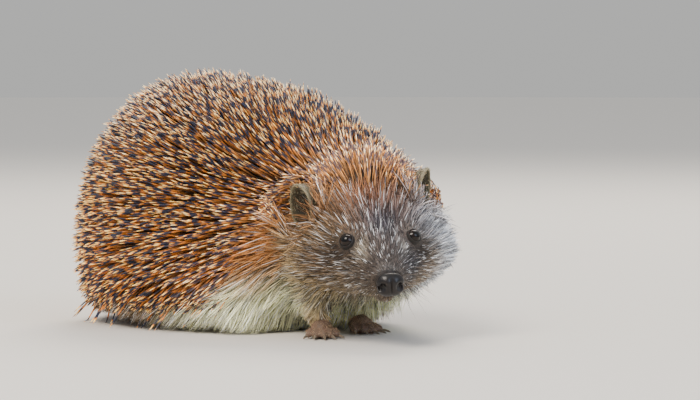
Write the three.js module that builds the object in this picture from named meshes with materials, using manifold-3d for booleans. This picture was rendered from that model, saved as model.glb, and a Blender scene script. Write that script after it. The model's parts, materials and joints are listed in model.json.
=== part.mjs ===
// A European hedgehog, life size, crouched on its four feet with its head turned to its right.
// Every part of the animal is one closed solid, drawn out to the tips of the coat: spines over
// the back, nape and crown, and fur on the face, flanks and belly. Spiny and furry parts are
// separate solids where the hairline divides them, and so are nose, eyes, ears, feet and claws.
//
// Millimetres. +X runs from the rump to the chest, +Y is the animal's left, +Z is up, and the
// origin is on the floor, under the middle of the animal.

import * as THREE from "three";
import { mergeVertices } from "three/addons/utils/BufferGeometryUtils.js";
import Module from "manifold-3d";

const wasm = await Module();
wasm.setup();

// ---------------------------------------------------------------- driving dimensions

const GAP = 0.4; // left free between neighbouring solids
const CUT_SETBACK = 0.24; // of a part of the body from the place where it is cut from the next
const BEYOND = 400; // size of the blocks that cut, past every side of the animal

// The head's own frame starts at the nose tip. "turn" is counted to the left from +X, "dip" is
// how far the nose points below level, and "roll" lifts the left side. Places on the head are
// "back" from the nose tip, "side" to the animal's right, and "up" towards the top of the skull.
const HEAD = { noseTip: [118.8, -45.7, 26.8], turn: -40, dip: 19, roll: 3.5 };
const EYE = { radius: 3.3, back: 26.5, side: 13.8, up: 9.4 };
const EAR_PLACES = {
  right: { back: 58, side: 28.6, up: 13 },
  left: { back: 58, side: -24.5, up: 16.5 },
};
const EAR = {
  half: [7.6, 11, 4.4], // width, height and depth of the bowl
  wall: 1.3,
  rimCut: 0.6, // how much of the bowl's open side is cut away
  turn: 60, // away from straight ahead, towards its own side
  mouth: 9, // depth of the clear space in front of the bowl
  mouthShare: 0.9, // its width and height, as a share of the bowl's
};
const NOSE = { half: [5.9, 5.1, 4.8], back: 3.6, up: -0.7 };
const NOSTRIL = { half: [1.3, 1.7, 1.8], side: 3.6, up: -0.9, back: 0.6, lean: 20 };
const NOSTRIL_SLIT = { half: [1.6, 0.7, 2], side: 5.1, up: -1.1, back: 1.8, lean: 30 };
const NOSE_GROOVE = { half: [0.4, 3.6, 1.1], side: 0, up: -1.7, back: -0.9 };
const JAW = { path: [[0, -8.4, 8.6], [0, -9.9, 14], [0, -12.2, 22.5]], radii: [2.3, 3.8, 4.8] };
const CROWN_EDGE = { back: 43, up: 24, slope: 32 }; // where the spines end over the forehead

// Feet: half sizes of the sole, and the length, radius and spread of the toes and claws. Limbs:
// where the middle of the sole rests, the way the toes point, and the leg above it.
const FORE = { sole: [6.5, 4.8, 5], toe: 8.5, toeRadius: 1.8, fan: 14, claw: 4.5 };
const HIND = { sole: [13, 5.2, 4.6], toe: 10, toeRadius: 1.9, fan: 10, claw: 6 };
const LIMBS = {
  front_right: {
    ...FORE,
    at: [62, -23.5],
    turn: -44,
    leg: [[53, -19, 17], [57, -21, 12], [60, -22.5, 6]],
  },
  front_left: {
    ...FORE,
    at: [61, 4],
    turn: -20,
    leg: [[53, 7.5, 17], [56.5, 6.5, 12], [59, 5, 6]],
  },
  hind_right: {
    ...HIND,
    at: [-28, -26],
    turn: -8,
    leg: [[-45, -20, 22], [-42, -23, 13], [-39, -25, 6]],
  },
  hind_left: {
    ...HIND,
    at: [-30, 31],
    turn: 10,
    leg: [[-47, 25, 22], [-44, 28, 13], [-41, 30, 6]],
  },
};
const LEG_RADII = [7, 5.8, 4.4];
const SOLE_HEIGHT = 2.8; // of the middle of the foot's pad above the floor
// Toes lie in a row. Each is arched at its knuckle, a share of its length out, and the outer ones
// are shorter and start farther back, along a curve of the given power.
const TOE = { height: 2.4, knuckle: 0.55, arch: 0.5, tipDrop: 0.9, tipRadius: 1.3, row: 1.5 };
const TOE_ROW = { setBack: 4, outerSetBack: 0.9, curve: 1.5, outerShorter: 0.5 };
const CLAW = { drop: 1, tipDrop: 1.7, radii: [0.75, 0.65, 0.3] };
const TAIL = { path: [[-76, -0.5, 16], [-84, -0.5, 10.5], [-91, -0.5, 8]], radii: [4, 3, 1.4] };

// Sections of head, neck and trunk, from the snout to the rump. A section's centre is "back"
// from the nose tip and "up" from the head's axis, or else is given as "at", with the "turn" and
// "dip" of the section. "wide" is its half widths to the right and left, and "tall" its reach
// above and below the centre, all to the tips of the coat. "round" is the power of its upper and
// lower curves: 2 is an ellipse and more is squarer. "hair" is the angle from level at which
// the spines give way to fur.
const FORMS = {
  snout_tip: { back: 4.8, up: -0.6, wide: [5.2, 5.2], tall: [4.9, 4.8], round: [2, 2.2] },
  lips: { back: 10, up: -1, wide: [7.4, 7.4], tall: [7.4, 8.2], round: [2, 2] },
  snout: { back: 15.5, up: -1.5, wide: [10.6, 10.6], tall: [9.6, 9.6], round: [2, 2] },
  snout_root: { back: 21, up: -2, wide: [15.4, 15.4], tall: [12.8, 12], round: [2, 2] },
  eyes: { back: 28, up: -3, wide: [23.6, 23.6], tall: [17.6, 14.2], round: [1.95, 2] },
  brow: { back: 36, up: -4, wide: [31.5, 32], tall: [22.5, 16.5], round: [1.8, 2] },
  cheeks: { back: 43, up: -5.5, wide: [36, 38.5], tall: [30, 18.5], round: [1.7, 2] },
  ears: { back: 51, up: -6, wide: [38, 38.5], tall: [39, 25.5], round: [1.75, 2.4] },
  crown: { back: 60, up: -6.5, wide: [38.5, 35.5], tall: [46, 31], round: [2, 2.6], hair: 20 },
  nape: {
    at: [62, -1, 39.5],
    turn: -29,
    dip: 10,
    wide: [44, 37.5],
    tall: [46.5, 33],
    round: [2.15, 2.9],
    hair: -4,
  },
  shoulders: {
    at: [44, 5, 38.5],
    turn: -13,
    dip: 3,
    wide: [54, 47],
    tall: [58, 35.5],
    round: [2.05, 3.1],
    hair: -24,
  },
  ribs: { at: [21, 7, 37.8], turn: -3, wide: [63, 53], tall: [70.6, 35.1], round: [2.1, 3.4], hair: -40 },
  back: { at: [-4, 6.5, 37.2], wide: [67.5, 58], tall: [75.6, 34.5], round: [2.1, 3.6], hair: -45 },
  loin: { at: [-29, 4.5, 36.6], wide: [66, 58.5], tall: [79.2, 33.9], round: [2.1, 3.6], hair: -46 },
  haunch: { at: [-53, 2.5, 36], wide: [57.5, 53.5], tall: [74.2, 33.3], round: [2.1, 3.5], hair: -46 },
  croup: { at: [-71, 0.5, 35], wide: [43.5, 41.5], tall: [57.5, 32.4], round: [2.1, 3.1], hair: -46 },
  rump: { at: [-82, -0.5, 33.5], wide: [25.5, 25], tall: [34, 25], round: [2, 2.6], hair: -46 },
  rump_end: { at: [-86.5, -0.8, 32.5], wide: [9, 9], tall: [11, 10], round: [2, 2], hair: -46 },
};

// Facets around and along each form. They keep the whole animal under 10,000 triangles.
const FACETS = {
  pad: [10, 6],
  toe: [5, 2],
  claw: [4, 2],
  leg: [8, 3],
  tail: [8, 3],
  jaw: [10, 5],
  nose: [14, 9],
  nostril: [8, 6],
  eye: [14, 8],
  ear: [14, 10],
  insideEar: [12, 7],
  muzzle: [18, 6],
  skull: [26, 12],
  nape: [17, 5],
  throat: [12, 5],
  back: [18, 18],
  belly: [12, 18],
};

// ---------------------------------------------------------------- materials

const finish = (color, roughness, metalness = 0) =>
  new THREE.MeshStandardMaterial({ color, roughness, metalness });
const spines = finish(0x7d6346, 0.6);
const faceFur = finish(0x8c7d69, 0.9);
const paleFur = finish(0xcfc8a8, 0.9);
const bareSkin = finish(0x75675c, 0.7);
const noseLeather = finish(0x2a2120, 0.25);
const eyeGloss = finish(0x0a0808, 0.05);
const clawHorn = finish(0x4a4440, 0.4);

// ---------------------------------------------------------------- solids

const X_AXIS = new THREE.Vector3(1, 0, 0);
const Y_AXIS = new THREE.Vector3(0, 1, 0);
const Z_AXIS = new THREE.Vector3(0, 0, 1);
const rad = THREE.MathUtils.degToRad;
const smooth = (points) =>
  new THREE.CatmullRomCurve3(points.map((p) => new THREE.Vector3(...p)), false, "catmullrom");

function volumeInside(points, faces) {
  let sum = 0;
  const across = new THREE.Vector3();
  for (let i = 0; i < faces.length; i += 3) {
    const [a, b, c] = [points[faces[i]], points[faces[i + 1]], points[faces[i + 2]]];
    sum += across.crossVectors(b, c).dot(a) / 6;
  }
  return sum;
}

// Joins rings of equally many points into one closed shell, with a fan over each end.
function closedLoft(rings) {
  const count = rings[0].length;
  const points = rings.flat();
  const faces = [];
  for (let r = 0; r + 1 < rings.length; r++) {
    for (let i = 0; i < count; i++) {
      const [a, b] = [r * count + i, r * count + ((i + 1) % count)];
      faces.push(a, a + count, b, b, a + count, b + count);
    }
  }
  [0, rings.length - 1].forEach((r, isLast) => {
    const centre = new THREE.Vector3();
    rings[r].forEach((p) => centre.addScaledVector(p, 1 / count));
    points.push(centre);
    for (let i = 0; i < count; i++) {
      const [a, b] = [r * count + i, r * count + ((i + 1) % count)];
      faces.push(points.length - 1, isLast ? b : a, isLast ? a : b);
    }
  });
  const geometry = new THREE.BufferGeometry().setFromPoints(points);
  geometry.setIndex(volumeInside(points, faces) < 0 ? faces.reverse() : faces);
  return geometry;
}

// A closed mesh as a solid that can be joined and cut.
function solid(geometry) {
  const bare = geometry.clone();
  bare.deleteAttribute("normal");
  bare.deleteAttribute("uv");
  const merged = mergeVertices(bare, 1e-4);
  const vertProperties = new Float32Array(merged.attributes.position.array);
  const triVerts = new Uint32Array(merged.index.array);
  return new wasm.Manifold(new wasm.Mesh({ numProp: 3, vertProperties, triVerts }));
}

const cutAll = (shape, cuts) => cuts.reduce((left, cut) => left.subtract(cut), shape);

// A ball of three half sizes about the origin, larger all round by grow.
function ball(half, grow, facets) {
  const shape = new THREE.SphereGeometry(1, ...facets);
  return shape.scale(half[0] + grow, half[1] + grow, half[2] + grow);
}

// A block with one face in the middle of the model's frame, and the rest of it on the far side.
const blockAlong = (x, y, z) =>
  new THREE.BoxGeometry(BEYOND, BEYOND, BEYOND).translate(
    (x * BEYOND) / 2,
    (y * BEYOND) / 2,
    (z * BEYOND) / 2,
  );
const above = (z) => solid(blockAlong(0, 0, 1).translate(0, 0, z));

// A leg, toe, claw, jaw or tail: round sections of the given radii along a smooth curve. grow
// makes it larger all round, for the hollow it is to lie in.
function taperedTube(path, radii, [sides, steps], grow = 0) {
  const curve = smooth(path);
  const rings = [];
  for (let r = 0; r <= steps; r++) {
    const t = r / steps;
    const place = (radii.length - 1) * t;
    const low = Math.min(Math.floor(place), radii.length - 2);
    const radius = THREE.MathUtils.lerp(radii[low], radii[low + 1], place - low) + grow;
    const along = curve.getTangent(t);
    const helper = Math.abs(along.z) > 0.9 ? X_AXIS : Z_AXIS;
    const side = new THREE.Vector3().crossVectors(along, helper).normalize();
    const up = new THREE.Vector3().crossVectors(side, along);
    const endShift = r === 0 ? -grow : r === steps ? grow : 0;
    const centre = curve.getPoint(t).addScaledVector(along, endShift);
    const ring = Array.from({ length: sides }, (_, i) => {
      const angle = (2 * Math.PI * i) / sides;
      return centre
        .clone()
        .addScaledVector(side, radius * Math.cos(angle))
        .addScaledVector(up, radius * Math.sin(angle));
    });
    rings.push(ring);
  }
  return closedLoft(rings);
}

const animal = new THREE.Group();

function add(name, shape, material) {
  const { vertProperties, triVerts } = shape.getMesh();
  const geometry = new THREE.BufferGeometry();
  geometry.setAttribute("position", new THREE.BufferAttribute(vertProperties, 3));
  geometry.setIndex(new THREE.BufferAttribute(triVerts, 1));
  geometry.computeVertexNormals();
  const mesh = new THREE.Mesh(geometry, material);
  mesh.name = name;
  animal.add(mesh);
}

// ---------------------------------------------------------------- frames

// Forward, rightward and upward axes of something turned left from +X, dipped and rolled.
function axesOf(turn, dip, roll) {
  const forward = X_AXIS.clone().applyAxisAngle(Y_AXIS, rad(dip)).applyAxisAngle(Z_AXIS, rad(turn));
  const right = new THREE.Vector3()
    .crossVectors(forward, Z_AXIS)
    .normalize()
    .applyAxisAngle(forward, rad(roll));
  return { forward, right, up: new THREE.Vector3().crossVectors(right, forward) };
}

const headAxes = axesOf(HEAD.turn, HEAD.dip, HEAD.roll);
const headMatrix = new THREE.Matrix4()
  .makeBasis(headAxes.right, headAxes.up, headAxes.forward.clone().negate())
  .setPosition(...HEAD.noseTip);

// Sets a solid on the head that was modelled as [side, up, back] from the nose tip.
const setOnHead = (shape) => shape.transform(headMatrix.elements);

// ---------------------------------------------------------------- the body's line of forms

const forms = Object.values(FORMS);
const onAxis = (f) => new THREE.Vector3(0, f.up, f.back).applyMatrix4(headMatrix).toArray();
const bodyLine = smooth(forms.map((f) => f.at ?? onAxis(f)));
const bodyFacing = smooth(
  forms.map((f) => (f.at ? [f.turn ?? 0, f.dip ?? 0, 0] : [HEAD.turn, HEAD.dip, HEAD.roll])),
);
const bodyWidth = smooth(forms.map((f) => [...f.wide, f.hair ?? FORMS.crown.hair]));
const bodyHeight = smooth(forms.map((f) => [...f.tall, 0]));
const bodyRoundness = smooth(forms.map((f) => [...f.round, 0]));

// The place of a form on the line, which runs from 0 at the snout to 1 at the rump, moved back
// by some millimetres.
function placeOf(name, shift = 0) {
  const u = Object.keys(FORMS).indexOf(name) / (forms.length - 1);
  const reach = 1e-3;
  const [before, behind] = [bodyLine.getPoint(u - reach), bodyLine.getPoint(u + reach)];
  return u + (shift * 2 * reach) / before.distanceTo(behind);
}

function sectionAt(u) {
  const facing = bodyFacing.getPoint(u);
  const width = bodyWidth.getPoint(u);
  const height = bodyHeight.getPoint(u);
  const roundness = bodyRoundness.getPoint(u);
  return {
    centre: bodyLine.getPoint(u),
    axes: axesOf(facing.x, facing.y, facing.z),
    wide: [width.x, width.y],
    tall: [height.x, height.y],
    round: [roundness.x, roundness.y],
    hair: width.z,
  };
}

// A point on a section: angle 0 is its right side and 90 degrees its top. lift raises it.
function onSection(s, angle, lift) {
  const [c, v] = [Math.cos(rad(angle)), Math.sin(rad(angle))];
  const power = 2 / s.round[v > 0 ? 0 : 1];
  const across = Math.sign(c) * Math.abs(c) ** power * s.wide[c > 0 ? 0 : 1];
  const height = Math.sign(v) * Math.abs(v) ** power * s.tall[v > 0 ? 0 : 1];
  return s.centre
    .clone()
    .addScaledVector(s.axes.right, across)
    .addScaledVector(s.axes.up, height + lift);
}

// A stretch of the body: whole, or what lies above or below a level cut at the hairline.
function stretch(from, to, [count, rows], side = "whole") {
  const rings = [];
  for (let r = 0; r <= rows; r++) {
    const s = sectionAt(THREE.MathUtils.lerp(from, to, r / rows));
    const [start, sweep, steps, lift] = {
      whole: [0, 360, count, 0],
      above: [s.hair, 180 - 2 * s.hair, count - 1, GAP / 2],
      below: [s.hair, -180 - 2 * s.hair, count - 1, -GAP / 2],
    }[side];
    const ring = Array.from({ length: count }, (_, i) => {
      const onCut = i === 0 || i === count - 1;
      return onSection(s, start + (sweep * i) / steps, onCut ? lift : 0);
    });
    rings.push(ring);
  }
  return solid(closedLoft(rings));
}

// ---------------------------------------------------------------- feet, claws, legs and tail

// The toes of a foot modelled at the origin and pointing along +X. The outer ones are shorter
// and set farther back. Each has a function for the points along it and beyond its tip.
function toesOf(limb) {
  return [-2, -1, 0, 1, 2].map((place) => {
    const turn = rad(place * limb.fan);
    const outer = Math.abs(place);
    const setBack = TOE_ROW.setBack + TOE_ROW.outerSetBack * outer ** TOE_ROW.curve;
    const startX = limb.sole[0] - setBack;
    const length = limb.toe - TOE_ROW.outerShorter * outer;
    const pointAt = (reach, lift) => [
      startX + Math.cos(turn) * reach,
      place * TOE.row + Math.sin(turn) * reach,
      TOE.height + lift,
    ];
    return { length, pointAt };
  });
}

function footShape(limb, grow = 0) {
  const [long, wide, high] = limb.sole;
  const pad = ball([long, high, wide], grow, FACETS.pad).rotateX(Math.PI / 2);
  const toes = toesOf(limb).map(({ length, pointAt }) => {
    const knuckle = pointAt(TOE.knuckle * length, TOE.arch);
    const path = [pointAt(0, 0), knuckle, pointAt(length, -TOE.tipDrop)];
    const radii = [limb.toeRadius, limb.toeRadius, TOE.tipRadius];
    return solid(taperedTube(path, radii, FACETS.toe, grow));
  });
  return toes.reduce((whole, toe) => whole.add(toe), solid(pad.translate(0, 0, SOLE_HEIGHT)));
}

function clawShapes(limb) {
  return toesOf(limb).map(({ length, pointAt }) => {
    const start = length + GAP;
    const path = [
      pointAt(start, -CLAW.drop),
      pointAt(start + limb.claw / 2, -CLAW.drop),
      pointAt(start + limb.claw, -CLAW.tipDrop),
    ];
    return solid(taperedTube(path, CLAW.radii, FACETS.claw));
  });
}

// What the larger solids leave free for the smaller ones that are set into them.
const hollows = [];

for (const [name, limb] of Object.entries(LIMBS)) {
  const stand = (shape) => shape.rotate([0, 0, limb.turn]).translate([...limb.at, 0]);
  const legShape = (grow) => solid(taperedTube(limb.leg, LEG_RADII, FACETS.leg, grow));
  const footHollow = stand(footShape(limb, GAP));
  add(`foot_${name}`, stand(footShape(limb)).intersect(above(0)), bareSkin);
  add(`leg_${name}`, legShape(0).subtract(footHollow).intersect(above(SOLE_HEIGHT)), paleFur);
  clawShapes(limb).forEach((claw, i) => add(`claw_${name}_${i + 1}`, stand(claw), clawHorn));
  hollows.push(footHollow, legShape(GAP));
}

const tailShape = (grow) => solid(taperedTube(TAIL.path, TAIL.radii, FACETS.tail, grow));
add("tail", tailShape(0), bareSkin);
hollows.push(tailShape(GAP));

// ---------------------------------------------------------------- nose, jaw, eyes and ears

// The nose pad, with two nostrils that open towards its sides and a groove down its middle.
function noseCut(cut, way) {
  const shape = ball(cut.half, 0, FACETS.nostril).rotateZ(rad(way * (cut.lean ?? 0)));
  return solid(shape.translate(way * cut.side, cut.up, cut.back));
}
const noseShape = (grow) =>
  solid(ball(NOSE.half, grow, FACETS.nose).translate(0, NOSE.up, NOSE.back));
const noseCuts = [
  noseCut(NOSE_GROOVE, 1),
  ...[-1, 1].flatMap((way) => [noseCut(NOSTRIL, way), noseCut(NOSTRIL_SLIT, way)]),
];
add("nose", setOnHead(cutAll(noseShape(0), noseCuts)), noseLeather);

const jawShape = (grow) => solid(taperedTube(JAW.path, JAW.radii, FACETS.jaw, grow));
add("lower_jaw", setOnHead(jawShape(0)), faceFur);
hollows.push(setOnHead(noseShape(GAP)), setOnHead(jawShape(GAP)));

for (const [name, side] of [["right", EYE.side], ["left", -EYE.side]]) {
  const eyeShape = (grow) => {
    const round = ball([EYE.radius, EYE.radius, EYE.radius], grow, FACETS.eye);
    return setOnHead(solid(round.translate(side, EYE.up, EYE.back)));
  };
  add(`eye_${name}`, eyeShape(0), eyeGloss);
  hollows.push(eyeShape(GAP));
}

// An ear is a bowl modelled with its open side forwards, turned to face its own side. The
// hollow it lies in is the bowl's full outline, and a clear space in front of it.
for (const [name, place] of Object.entries(EAR_PLACES)) {
  const set = (geometry) => {
    const turned = geometry.rotateY(rad(-EAR.turn * Math.sign(place.side)));
    return setOnHead(solid(turned.translate(place.side, place.up, place.back)));
  };
  const inside = ball(EAR.half, -EAR.wall, FACETS.insideEar).translate(0, 0, -EAR.wall);
  const openSide = blockAlong(0, 0, -1).translate(0, 0, -EAR.rimCut);
  const [mouthWidth, mouthHeight] = EAR.half.map((size) => size * EAR.mouthShare);
  const mouth = ball([mouthWidth, mouthHeight, EAR.mouth], 0, FACETS.insideEar);
  const bowl = cutAll(set(ball(EAR.half, 0, FACETS.ear)), [set(inside), set(openSide)]);
  const outline = ball(EAR.half, GAP, FACETS.insideEar);
  add(`ear_${name}`, bowl, bareSkin);
  hollows.push(set(outline), set(mouth.translate(0, 0, -EAR.mouth / 2)));
}

// ---------------------------------------------------------------- head, neck and trunk

// Everything above the edge of the crown's spines, which slopes down to the back of the head.
function overCrownEdge(lift) {
  const block = blockAlong(0, 1, 0).translate(0, lift, 0);
  block.rotateX(rad(CROWN_EDGE.slope)).translate(0, CROWN_EDGE.up, CROWN_EDGE.back);
  return setOnHead(solid(block));
}

const cutBefore = (name) => placeOf(name, -CUT_SETBACK);
const cutBehind = (name) => placeOf(name, CUT_SETBACK);
const muzzle = stretch(0, cutBefore("snout_root"), FACETS.muzzle);
const skull = stretch(cutBehind("snout_root"), cutBefore("crown"), FACETS.skull);
const neck = [cutBehind("crown"), cutBefore("shoulders")];
const trunk = [cutBehind("shoulders"), 1];

add("muzzle", cutAll(muzzle, hollows), faceFur);
add("head", cutAll(skull, [...hollows, overCrownEdge(-GAP / 2)]), faceFur);
add("crown", cutAll(skull, hollows).intersect(overCrownEdge(GAP / 2)), spines);
add("nape", cutAll(stretch(...neck, FACETS.nape, "above"), hollows), spines);
add("throat", cutAll(stretch(...neck, FACETS.throat, "below"), hollows), paleFur);
add("back", cutAll(stretch(...trunk, FACETS.back, "above"), hollows), spines);
add("belly", cutAll(stretch(...trunk, FACETS.belly, "below"), hollows), paleFur);

// ---------------------------------------------------------------- origin

const middle = new THREE.Box3().setFromObject(animal).getCenter(new THREE.Vector3());
animal.position.set(-middle.x, -middle.y, 0);

export default animal;
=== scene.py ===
# %% [markdown]
# # A hedgehog, life size
# The solids of this animal are drawn out to the tips of its coat. Here they get what makes it an
# animal: one skin that lies inside them, about ten thousand spines, fur, eyes, nose and claws.
# The skin is made first, because the coat grows from it and takes its colours from it.

import json
from math import cos, radians, sin

import bmesh
import bpy
import numpy as np
from mathutils import Matrix, Vector, kdtree
from mathutils.bvhtree import BVHTree

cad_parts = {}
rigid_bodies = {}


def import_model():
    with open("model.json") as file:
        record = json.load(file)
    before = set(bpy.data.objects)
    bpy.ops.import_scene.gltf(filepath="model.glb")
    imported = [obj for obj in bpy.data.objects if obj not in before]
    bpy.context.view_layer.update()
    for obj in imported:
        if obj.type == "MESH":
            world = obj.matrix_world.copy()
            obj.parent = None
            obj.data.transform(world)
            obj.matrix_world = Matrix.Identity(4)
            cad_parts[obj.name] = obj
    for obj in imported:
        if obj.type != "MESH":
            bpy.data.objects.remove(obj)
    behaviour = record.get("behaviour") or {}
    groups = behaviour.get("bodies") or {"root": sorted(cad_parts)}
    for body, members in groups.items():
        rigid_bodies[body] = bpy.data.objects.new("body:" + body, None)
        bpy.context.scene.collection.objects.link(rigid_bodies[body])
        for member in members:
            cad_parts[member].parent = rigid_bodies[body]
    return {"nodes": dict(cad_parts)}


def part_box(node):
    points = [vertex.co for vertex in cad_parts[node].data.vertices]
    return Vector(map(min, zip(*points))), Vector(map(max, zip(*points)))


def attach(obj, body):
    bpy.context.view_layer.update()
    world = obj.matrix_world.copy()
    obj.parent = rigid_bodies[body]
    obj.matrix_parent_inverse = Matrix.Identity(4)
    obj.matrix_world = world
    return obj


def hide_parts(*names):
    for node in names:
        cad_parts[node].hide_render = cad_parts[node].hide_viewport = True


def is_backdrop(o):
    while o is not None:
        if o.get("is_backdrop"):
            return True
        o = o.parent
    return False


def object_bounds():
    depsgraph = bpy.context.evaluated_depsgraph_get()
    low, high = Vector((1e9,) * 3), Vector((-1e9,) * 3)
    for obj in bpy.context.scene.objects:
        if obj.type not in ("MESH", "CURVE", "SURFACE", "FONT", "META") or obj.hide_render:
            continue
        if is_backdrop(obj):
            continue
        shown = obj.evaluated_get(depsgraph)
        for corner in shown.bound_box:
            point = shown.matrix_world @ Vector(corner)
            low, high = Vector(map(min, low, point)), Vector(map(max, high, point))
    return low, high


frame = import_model()
cad_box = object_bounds()
nodes = frame["nodes"]
MM = 0.001
print("solids:", len(nodes), "box:", [round(v / MM, 1) for corner in cad_box for v in corner])

# %% [markdown]
# Whatever is to be seen becomes an object in the scene's collection. Shapes are built as a bmesh,
# which is handed over to a mesh at the end. Camera and lamps look at a point from some direction.

# %% Into the scene
def linked(name, data):
    """A new object in the scene."""
    thing = bpy.data.objects.new(name, data)
    bpy.context.scene.collection.objects.link(thing)
    return thing


def mesh_from(shape, name):
    """A mesh with the faces of a bmesh, which is freed."""
    mesh = bpy.data.meshes.new(name)
    shape.to_mesh(mesh)
    shape.free()
    return mesh


def look_from(holder, target, azimuth, elevation, distance):
    """Stands a camera or lamp round and above a target, by degrees, and turns it to face it."""
    a, e = radians(azimuth), radians(elevation)
    out = Vector((sin(a) * cos(e), -cos(a) * cos(e), sin(e)))
    holder.location = target + out * distance
    holder.rotation_euler = (-out).to_track_quat("-Z", "Y").to_euler()


# %% [markdown]
# The head is turned towards its right, so a place on the face is hard to give along the floor's
# axes. The head gets axes of its own, from the nose tip: to its right, up, and back. The two eyes
# say where it is, because they are whole balls whose middles are easy to find.

# %% The head's own frame
HEAD_TURN = radians(-40)
HEAD_DIP = radians(19)
EYE_BACK = 26.5 * MM
EYE_UP = 9.4 * MM
EYE_RADIUS = 3.3 * MM


def middle_of(node):
    lowest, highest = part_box(node)
    return (lowest + highest) / 2


eyes = {side: middle_of(f"eye_{side}") for side in ("right", "left")}
between_eyes = (eyes["right"] + eyes["left"]) / 2
forward = Vector((cos(HEAD_TURN) * cos(HEAD_DIP), sin(HEAD_TURN) * cos(HEAD_DIP), -sin(HEAD_DIP)))
rightward = (eyes["right"] - eyes["left"]).normalized()
upward = rightward.cross(forward)
nose_tip = between_eyes + forward * EYE_BACK - upward * EYE_UP
head_axes = np.array([rightward, upward, -forward])


def on_head(points):
    """Places as millimetres to the right, up and back from the nose tip."""
    return (np.asarray(points) - np.array(nose_tip)) @ head_axes.T / MM


def from_head(side, up, back):
    """The place in the room of a place on the head."""
    return nose_tip + (rightward * side + upward * up - forward * back) * MM


print("nose tip:", [round(v / MM, 1) for v in nose_tip])

# %% [markdown]
# A long lens from a little over a metre away keeps the animal's proportions flat and true. The
# camera is nearly at the animal's own height, to the right of its head.

# %% Camera
CAMERA_LENS = 150
CAMERA_AZIMUTH = 40
CAMERA_HEIGHT = 3
CAMERA_DISTANCE = 1309.6 * MM
AIM_FROM_EYES = Vector((-67.4, 60.7, 11.9)) * MM

camera = linked("camera", bpy.data.cameras.new("camera"))
camera.data.lens = CAMERA_LENS
camera.data.sensor_width = 36
look_from(
    camera, between_eyes + AIM_FROM_EYES, CAMERA_AZIMUTH, CAMERA_HEIGHT, CAMERA_DISTANCE
)
bpy.context.scene.camera = camera
print("camera at", [round(v, 3) for v in camera.location])

# %% [markdown]
# Colours are written as on a web page, in sRGB. Blender mixes light in linear values, so one
# function turns the first into the second. Another adds a node to a material with all its
# settings and links, which keeps each material readable from top to bottom. A value that is a
# number or a colour is set, and one that is another node or its output is linked.


# %% Colours and nodes
def colour(code):
    """A linear colour with alpha from an sRGB hex code."""
    parts = np.array([int(code[i : i + 2], 16) for i in (1, 3, 5)]) / 255
    linear = np.where(parts <= 0.04045, parts / 12.92, ((parts + 0.055) / 1.055) ** 2.4)
    return (*linear.tolist(), 1.0)


def rgb(code):
    """The same colour as an array without alpha."""
    return np.array(colour(code)[:3])


def add_node(material, kind, values=None):
    """Adds a node. Values go by the names of its properties and inputs."""
    node = material.node_tree.nodes.new(kind)
    for name, value in (values or {}).items():
        if isinstance(value, bpy.types.Node):
            value = value.outputs[0]
        if isinstance(value, bpy.types.NodeSocket):
            material.node_tree.links.new(value, node.inputs[name])
        elif isinstance(name, str) and hasattr(node, name):
            setattr(node, name, value)
        else:
            node.inputs[name].default_value = value
    return node


def new_material(name):
    """A material without nodes."""
    material = bpy.data.materials.new(name)
    material.use_nodes = True
    material.node_tree.nodes.clear()
    return material


def set_ramp(node, stops):
    """Gives a colour ramp its stops, as pairs of a place and a colour code."""
    elements = node.color_ramp.elements
    while len(elements) < len(stops):
        elements.new(0.5)
    for element, (place, code) in zip(elements, stops):
        element.position = place
        element.color = colour(code)


# %% [markdown]
# The floor is a plain pale sheet, and the light is that of a studio: a bright overcast room, a
# large soft lamp above and to the left of the camera, a weak bluish one from the right, and one
# from behind that catches the tips of the spines.

# %% Floor and light
floor_shape = bmesh.new()
bmesh.ops.create_circle(floor_shape, cap_ends=True, segments=96, radius=6)
floor = linked("floor", mesh_from(floor_shape, "floor"))
floor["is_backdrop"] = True
paper = new_material("matt paper")
paper_shader = add_node(
    paper,
    "ShaderNodeBsdfPrincipled",
    {"Base Color": colour("#DAD6CF"), "Roughness": 0.9, "Specular IOR Level": 0.2},
)
add_node(paper, "ShaderNodeOutputMaterial", {"Surface": paper_shader})
floor.data.materials.append(paper)

world = bpy.data.worlds.new("studio")
world.use_nodes = True
world.node_tree.nodes.clear()
direction = add_node(world, "ShaderNodeTexCoord").outputs["Generated"]
height_of_sky = add_node(world, "ShaderNodeSeparateXYZ", {"Vector": direction}).outputs["Z"]
sky = add_node(world, "ShaderNodeValToRGB", {"Fac": height_of_sky})
set_ramp(sky, [(0, "#CECECC"), (0.05, "#D0D0D0"), (0.3, "#EEF2F8"), (1, "#FFFFFF")])
studio_light = add_node(world, "ShaderNodeBackground", {"Strength": 0.85, "Color": sky})
add_node(world, "ShaderNodeOutputWorld", {"Surface": studio_light})
bpy.context.scene.world = world


def soft_lamp(name, azimuth, elevation, distance, size, watts, tint):
    """A square lamp that looks at the animal from some direction, in degrees and metres."""
    lamp = bpy.data.lights.new(name, "AREA")
    lamp.size = size
    lamp.energy = watts
    lamp.color = rgb(tint)
    look_from(linked(name, lamp), Vector(), azimuth, elevation, distance)


soft_lamp("key", 5, 52, 1.6, 0.7, 26, "#FFF4E6")
soft_lamp("fill", 85, 30, 1.8, 1.0, 12, "#D8E6FF")
soft_lamp("rim", 210, 48, 1.6, 0.8, 22, "#FFF6EA")

# %% [markdown]
# ## The skin
# The flesh comes in many solids with thin gaps between them. For one skin without a seam, each
# solid is copied and swollen until the gaps close, and a voxel remesh wraps all of them in one
# closed surface of even faces. The eyes and the nose pad are wrapped too, so that no holes are
# left behind them.

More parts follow.
